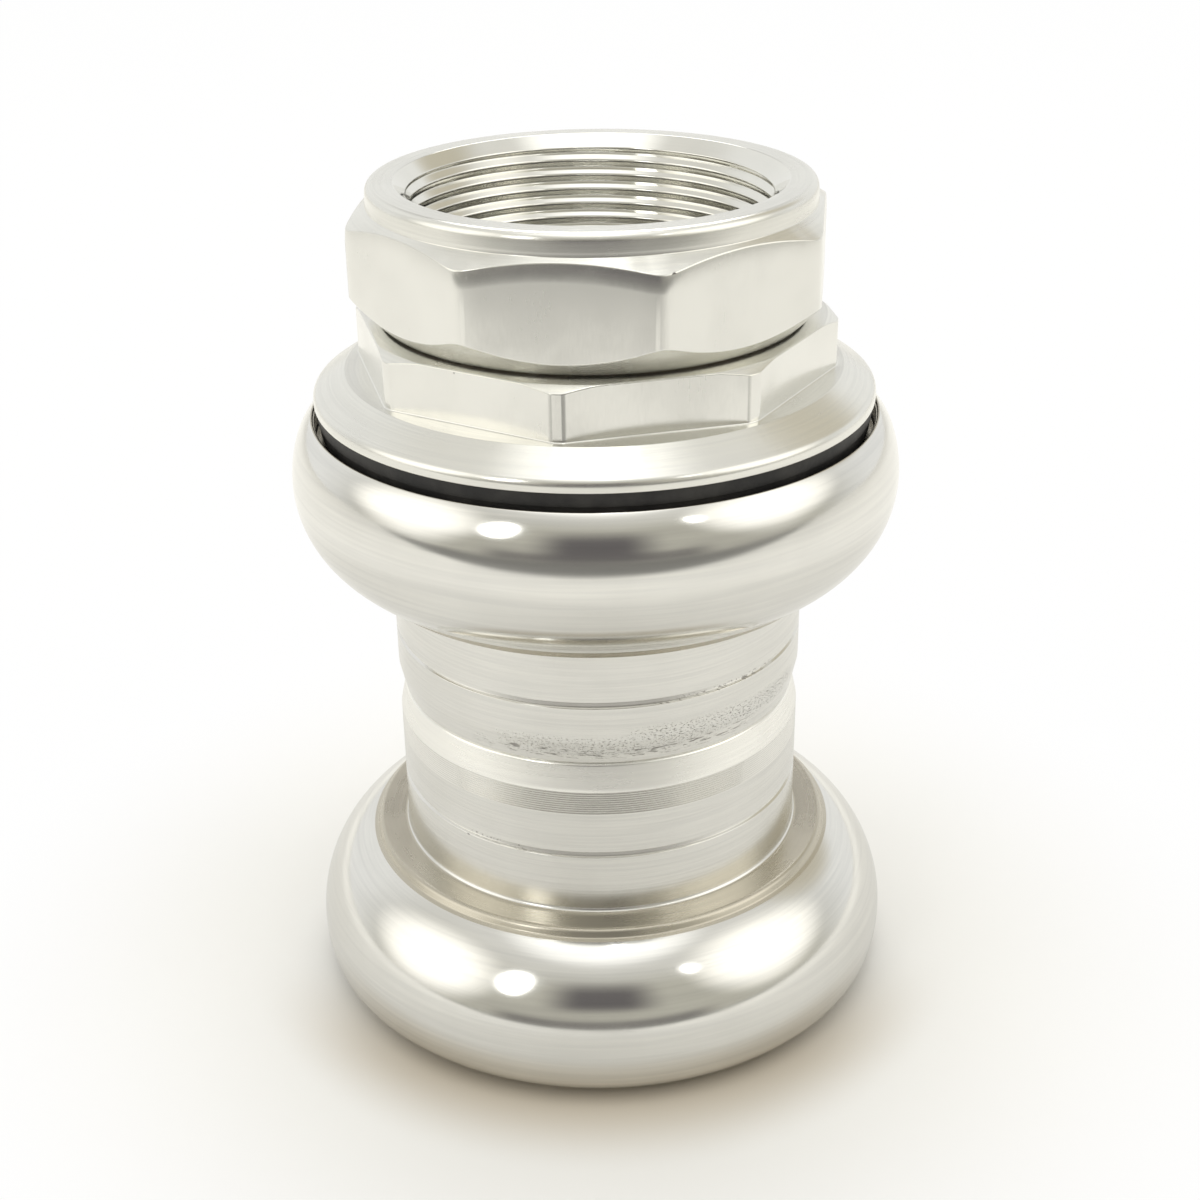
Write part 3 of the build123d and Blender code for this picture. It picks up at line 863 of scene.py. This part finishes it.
def threaded_octagon(node, turn, blend, corners_at, low, high, low_lead, high_lead, finish_of):
    """A threaded octagonal piece in place of its solid, from the corners of its outline at each azimuth."""
    turning = bpy.context.scene.headset_turning
    thread = bpy.context.scene.headset_thread
    angles = octagon_angles(turn)
    columns = []
    for angle in angles:
        corners = corners_at(octagon_radius(angle, turn, blend))
        path, sides = rounded_path(corners, turning.edge_steps)
        wall = thread_column(angle, angles[0], low, high, corners[0][0], low_lead, high_lead)
        columns.append(path + wall)
    keys = ("cone", "flat", "thread")
    zones = [keys.index(finish_of.get(side, "cone")) for side in sides] + [2] * len(wall)
    made = ring_object(node + "_cut", angles, columns, zones, keys, len(wall), thread.rows)
    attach(made, "steering_top")
    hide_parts(node)


class HEADSET_OT_cups(bpy.types.Operator):
    """Turn the upper and the lower cup with smooth bowls and broken edges"""

    bl_idname = "headset.cups"
    bl_label = "Cups"

    def execute(self, context):
        upper_low, upper_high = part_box("upper_cup")
        lower_low, lower_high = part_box("lower_cup")
        cup_object("upper_cup", upper_low.z, upper_high.z)
        cup_object("lower_cup", lower_high.z, lower_low.z)
        return {"FINISHED"}


class HEADSET_OT_lock_nut(bpy.types.Operator):
    """Cut the lock nut with its collar, wrench flats and steerer thread"""

    bl_idname = "headset.lock_nut"
    bl_label = "Lock Nut"

    def execute(self, context):
        nut = context.scene.headset_nut
        thread = context.scene.headset_thread
        octagon = context.scene.headset_octagon
        edge = context.scene.headset_turning.edge_break
        low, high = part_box("lock_nut")
        foot, top = low.z, high.z
        collar_lean = (top - foot - nut.collar_height - nut.collar_foot) * math.tan(nut.collar_ease)
        flat_lean = nut.flat_ease_height * math.tan(nut.flat_ease)

        def corners_at(radius):
            flat_top = foot + nut.land_top + (octagon.corner_radius - radius) * math.tan(nut.top_slope)
            return [
                (thread.bore_radius, foot + nut.pocket_height + thread.lead, 0.0),
                (thread.bore_radius + thread.lead, foot + nut.pocket_height, edge),
                (nut.pocket_radius, foot + nut.pocket_height, edge),
                (nut.pocket_radius, foot, edge),
                (nut.base_radius, foot, edge),
                (radius, foot + (radius - nut.base_radius) * math.tan(nut.base_slope), 1.6 * edge),
                (radius, flat_top - nut.flat_ease_height, nut.flat_ease_height / math.tan(0.5 * nut.flat_ease)),
                (radius - flat_lean, flat_top + flat_lean * math.tan(nut.top_slope), 1.6 * edge),
                (nut.collar_radius, foot + nut.collar_height, edge),
                (nut.collar_radius, foot + nut.collar_height + nut.collar_foot, nut.collar_bend),
                (nut.collar_radius - collar_lean, top, nut.collar_round),
                (nut.mouth_radius, top, edge),
                (thread.bore_radius, foot + nut.mouth_height, 0.0),
            ]

        threaded_octagon("lock_nut", octagon.nut_turn, octagon.nut_blend, corners_at,
                         foot + nut.pocket_height + thread.lead, foot + nut.mouth_height, 1.0,
                         (nut.mouth_radius - thread.bore_radius) / (top - foot - nut.mouth_height),
                         {5: "flat", 6: "flat", 11: "thread"})
        return {"FINISHED"}


class HEADSET_OT_adjusting_race(bpy.types.Operator):
    """Cut the adjusting race with its dust flange, wrench flats and steerer thread"""

    bl_idname = "headset.adjusting_race"
    bl_label = "Adjusting Race"

    def execute(self, context):
        race = context.scene.headset_race
        thread = context.scene.headset_thread
        octagon = context.scene.headset_octagon
        edge = context.scene.headset_turning.edge_break
        low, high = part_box("adjusting_race")
        foot, top = low.z, high.z
        flange_top = foot + race.flange_height + race.flange_edge
        ledge = flange_top + (race.flange_radius - race.ledge_radius) * math.tan(race.flange_slope)

        def corners_at(radius):
            bevel = max(edge, radius - octagon.corner_radius + race.bevel_width)
            return [
                (thread.bore_radius, foot, 0.0),
                (race.nose_radius, foot, edge),
                (race.hub_radius, foot + race.hub_height, edge),
                (race.hub_radius, foot + race.flange_height, edge),
                (race.flange_radius, foot + race.flange_height, edge),
                (race.flange_radius, flange_top, race.flange_round),
                (race.ledge_radius, ledge, edge),
                (radius, ledge, edge),
                (radius, top - bevel * race.bevel_height / race.bevel_width, edge),
                (radius - bevel, top, edge),
                (thread.bore_radius + thread.lead, top, edge),
                (thread.bore_radius, top - thread.lead, 0.0),
            ]

        threaded_octagon("adjusting_race", octagon.race_turn, octagon.race_blend, corners_at, foot,
                         top - thread.lead, 1.0, 1.0, {7: "flat", 10: "thread"})
        return {"FINISHED"}


class HEADSET_OT_seals(bpy.types.Operator):
    """Finish the rubber seals and the bearing shields"""

    bl_idname = "headset.seals"
    bl_label = "Seals"

    def execute(self, context):
        dress(("dust_seal", "crown_race_seal", "upper_mouth_shield", "upper_inner_shield", "lower_mouth_shield",
               "lower_inner_shield"), "rubber")
        return {"FINISHED"}


class HEADSET_OT_washer(bpy.types.Operator):
    """Finish the keyed washer under the lock nut"""

    bl_idname = "headset.washer"
    bl_label = "Keyed Washer"

    def execute(self, context):
        dress(("keyed_washer",), "washer")
        return {"FINISHED"}


class HEADSET_OT_bearings(bpy.types.Operator):
    """Finish the bearing rings, balls and cages, and the crown race"""

    bl_idname = "headset.bearings"
    bl_label = "Bearings"

    def execute(self, context):
        dress(("crown_race", "upper_outer_ring", "upper_inner_ring", "upper_balls", "lower_outer_ring",
               "lower_inner_ring", "lower_balls"), "steel")
        dress(("upper_cage", "lower_cage"), "nylon")
        return {"FINISHED"}


def flat_panel(name, corners, material):
    """A flat stage panel through four corners."""
    mesh = bpy.data.meshes.new(name)
    mesh.from_pydata(corners, [], [(0, 1, 2, 3)])
    mesh.materials.append(material)
    made = bpy.data.objects.new(name, mesh)
    bpy.context.scene.collection.objects.link(made)
    return made


LAMP_DISTANCE = 0.45
LAMP_TARGET = (0.0, 0.0, 0.03)
# Soft lamps: name, degrees right of the front and up, width and height in metres, glow, share on dull surfaces
LAMPS = (
    ("ceiling lamp", 24.0, 81.0, 0.04, 0.04, 7.0, 0.2),
    ("back lamp", 178.0, 52.0, 0.32, 0.22, 2.8, 1.0),
    ("left window", -37.0, 31.0, 0.10, 0.19, 2.6, 0.3),
    ("right window", 41.0, 42.0, 0.045, 0.075, 2.6, 0.3),
)
# Soft round patches of the tent: degrees right of the front and up, degrees to the core and the edge, colour
TENT_PATCHES = (
    (0.0, 84.0, 8.0, 27.0, (1.5, 1.49, 1.44, 1.0)),
    (-75.0, 25.0, 11.0, 32.0, (1.5, 1.47, 1.38, 1.0)),
    (74.0, 32.0, 11.0, 33.0, (1.5, 1.47, 1.38, 1.0)),
    (132.0, 38.0, 5.0, 21.0, (0.60, 0.56, 0.46, 1.0)),
    (180.0, 40.0, 6.0, 26.0, (0.40, 0.39, 0.37, 1.0)),
)


def aim_direction(azimuth, height):
    """Unit direction from degrees to the right of the front and degrees up."""
    turn, rise = math.radians(azimuth), math.radians(height)
    return Vector((math.sin(turn) * math.cos(rise), -math.cos(turn) * math.cos(rise), math.sin(rise)))


def soft_lamp(name, spot, aim, width, height, glow, spread):
    """A soft oval lamp that points at a place, with the stated glow all over its face."""
    data = bpy.data.lights.new(name, "AREA")
    data.shape = "ELLIPSE"
    data.size, data.size_y = width, height
    data.energy = glow * math.pi * 0.25 * math.pi * width * height
    data.diffuse_factor = spread
    lamp = bpy.data.objects.new(name, data)
    lamp.location = spot
    lamp.rotation_euler = (Vector(aim) - Vector(spot)).to_track_quat("-Z", "Y").to_euler()
    bpy.context.scene.collection.objects.link(lamp)


def light_tent(stage):
    """World light: a pale tent, duller in front, with a dark strip low in front, white to the camera."""
    world = bpy.data.worlds.new("light tent")
    bpy.context.scene.world = world
    world.use_nodes = True
    tree = world.node_tree
    background = next(node for node in tree.nodes if node.type == "BACKGROUND")
    direction = place(tree, "ShaderNodeTexCoord").outputs["Generated"]
    parts = split(tree, direction)
    tent = mix(tree, ramp(tree, parts["Y"], -0.2, 0.6), opaque(stage.room), opaque(stage.backdrop))
    tent = mix(tree, ramp(tree, parts["Z"], 0.55, 0.95), tent, opaque(stage.ceiling))
    for azimuth, height, core, edge, shade in TENT_PATCHES:
        facing = measure(tree, "DOT_PRODUCT", direction, aim_direction(azimuth, height))
        cover = ramp(tree, facing, math.cos(math.radians(edge)), math.cos(math.radians(core)))
        tent = mix(tree, cover, tent, shade)
    ahead = ramp(tree, parts["Y"], -0.70, -0.85)
    level = calc(tree, "MULTIPLY", ramp(tree, parts["Z"], 0.15, 0.07), ramp(tree, parts["Z"], -0.03, 0.01))
    tent = mix(tree, chain(tree, "MULTIPLY", ahead, level, 0.8), tent, opaque(stage.front))
    seen = place(tree, "ShaderNodeLightPath").outputs["Is Camera Ray"]
    tree.links.new(mix(tree, seen, tent, (1.0, 1.0, 1.0, 1.0)), background.inputs["Color"])
    background.inputs["Strength"].default_value = 1.0


def front_card(stage):
    """A dark card with soft edges, close behind the camera, that only the metal shows."""
    material = bpy.data.materials.new("dark card")
    material.use_nodes = True
    tree = material.node_tree
    tree.nodes.clear()
    parts = split(tree, object_point(tree))
    side = ramp(tree, calc(tree, "ABSOLUTE", parts["X"]), 0.020, 0.066, 1.0, 0.0)
    level = calc(tree, "MULTIPLY", ramp(tree, parts["Z"], 0.034, 0.056), ramp(tree, parts["Z"], 0.148, 0.085))
    clear = place(tree, "ShaderNodeBsdfTransparent").outputs[0]
    dark = place(tree, "ShaderNodeEmission", {"Color": opaque(stage.front)}).outputs[0]
    cover = calc(tree, "MULTIPLY", side, level)
    surface = place(tree, "ShaderNodeMixShader", {0: cover, 1: clear, 2: dark}).outputs[0]
    place(tree, "ShaderNodeOutputMaterial", {"Surface": surface})
    half, back, foot, top = stage.card_half, stage.card_place, stage.card_foot, stage.card_top
    corners = [(-half, back, foot), (half, back, foot), (half, back, top), (-half, back, top)]
    card = flat_panel("front card", corners, material)
    card.visible_camera = False
    card.visible_diffuse = False
    card.visible_shadow = False


def floor_material(stage):
    """Pale floor: white to the camera away from the headset, with a painted contact shadow close in front of
    it, and, as the metal shows it, darker close to the headset, which is painted shade, and duller to the
    front.
    """
    material, tree, shader = bare_material("pale floor", 0.0)
    point = object_point(tree)
    parts = split(tree, point)
    path = place(tree, "ShaderNodeLightPath").outputs
    tooth = noise(tree, point, 3.0, scale=900.0)
    tone = mix(tree, calc(tree, "MULTIPLY", tooth, 0.3), opaque(stage.floor), opaque(stage.floor, 0.98))
    front = ramp(tree, parts["Y"], stage.floor_near, stage.floor_far, 0.0, stage.floor_dull)
    away = measure(tree, "LENGTH", point)
    # Painted shade that only the metal shows: to glossy rays the floor is darker within 60 to 100 mm of the
    # headset
    near = ramp(tree, away, 0.06, 0.10, 0.13, 0.0)
    dull = calc(tree, "MULTIPLY", path["Is Glossy Ray"], calc(tree, "ADD", front, near))
    # Painted contact shadow: the floor turns to floor_shade close in front of the headset
    ahead = ramp(tree, parts["Y"], -0.004, -0.019)
    shade = calc(tree, "MULTIPLY", ramp(tree, away, 0.0215, 0.029, 1.0, 0.0), ahead)
    tone = mix(tree, shade, tone, opaque(stage.floor_shade))
    tone = mix(tree, dull, tone, (0.0, 0.0, 0.0, 1.0))
    tree.links.new(tone, shader.inputs["Base Color"])
    shader.inputs["Roughness"].default_value = 0.9
    shader.inputs["Specular IOR Level"].default_value = 0.1
    plain = calc(tree, "MULTIPLY", path["Is Camera Ray"], ramp(tree, away, 0.023, 0.056, 0.0, 0.97))
    white = place(tree, "ShaderNodeEmission", {"Color": (1.0, 1.0, 1.0, 1.0)}).outputs[0]
    surface = place(tree, "ShaderNodeMixShader", {0: plain, 1: shader.outputs[0], 2: white}).outputs[0]
    output = next(node for node in tree.nodes if node.type == "OUTPUT_MATERIAL")
    tree.links.new(surface, output.inputs["Surface"])
    return material


class HEADSET_OT_stage(bpy.types.Operator):
    """Set up the floor, the soft light and the camera"""

    bl_idname = "headset.stage"
    bl_label = "Stage"

    def execute(self, context):
        scene = context.scene
        stage = scene.headset_stage
        half, drop = 0.5 * stage.floor_size, stage.floor_drop
        corners = [(-half, -half, drop), (half, -half, drop), (half, half, drop), (-half, half, drop)]
        flat_panel("floor", corners, floor_material(stage))
        light_tent(stage)
        front_card(stage)
        middle = Vector(LAMP_TARGET)
        for name, azimuth, height, width, tall, glow, spread in LAMPS:
            spot = middle + LAMP_DISTANCE * aim_direction(azimuth, height)
            soft_lamp(name, spot, middle, width, tall, glow, spread)
        data = bpy.data.cameras.new("camera")
        data.lens = stage.lens
        data.sensor_width = 36.0
        data.clip_start = 0.005
        camera = bpy.data.objects.new("camera", data)
        camera.matrix_world = (Matrix.Translation(stage.camera_place)
                               @ Matrix.Rotation(0.5 * math.pi - stage.pitch, 4, "X")
                               @ Matrix.Rotation(stage.roll, 4, "Z"))
        scene.collection.objects.link(camera)
        scene.camera = camera
        scene.view_settings.view_transform = "Standard"
        return {"FINISHED"}


class HEADSET_PT_panel(bpy.types.Panel):
    """Steps and sizes of the headset"""

    bl_idname = "HEADSET_PT_panel"
    bl_label = "Threaded Headset"
    bl_space_type = "VIEW_3D"
    bl_region_type = "UI"
    bl_category = "Headset"

    def draw(self, context):
        for step in STEPS:
            self.layout.operator(step.bl_idname)
        for name, group in GROUPS.items():
            box = self.layout.box()
            for size in group.__annotations__:
                box.prop(getattr(context.scene, name), size, text=size.replace("_", " ").capitalize())


GROUPS = {
    "headset_turning": HeadsetTurning,
    "headset_octagon": HeadsetOctagon,
    "headset_thread": HeadsetThread,
    "headset_nut": HeadsetNut,
    "headset_race": HeadsetRace,
    "headset_finish": HeadsetFinish,
    "headset_stage": HeadsetStage,
}
STEPS = (
    HEADSET_OT_cups,
    HEADSET_OT_lock_nut,
    HEADSET_OT_adjusting_race,
    HEADSET_OT_seals,
    HEADSET_OT_washer,
    HEADSET_OT_bearings,
    HEADSET_OT_stage,
)


def register():
    """Register the sizes, the steps and the panel."""
    for name, group in GROUPS.items():
        bpy.utils.register_class(group)
        setattr(bpy.types.Scene, name, PointerProperty(type=group))
    for step in STEPS:
        bpy.utils.register_class(step)
    bpy.utils.register_class(HEADSET_PT_panel)


def unregister():
    """Take out what register put in."""
    bpy.utils.unregister_class(HEADSET_PT_panel)
    for step in reversed(STEPS):
        bpy.utils.unregister_class(step)
    for name, group in reversed(GROUPS.items()):
        delattr(bpy.types.Scene, name)
        bpy.utils.unregister_class(group)


def main():
    """Run each step in order."""
    register()
    bpy.ops.headset.cups()
    bpy.ops.headset.lock_nut()
    bpy.ops.headset.adjusting_race()
    bpy.ops.headset.seals()
    bpy.ops.headset.washer()
    bpy.ops.headset.bearings()
    bpy.ops.headset.stage()


if __name__ == "__main__":
    main()
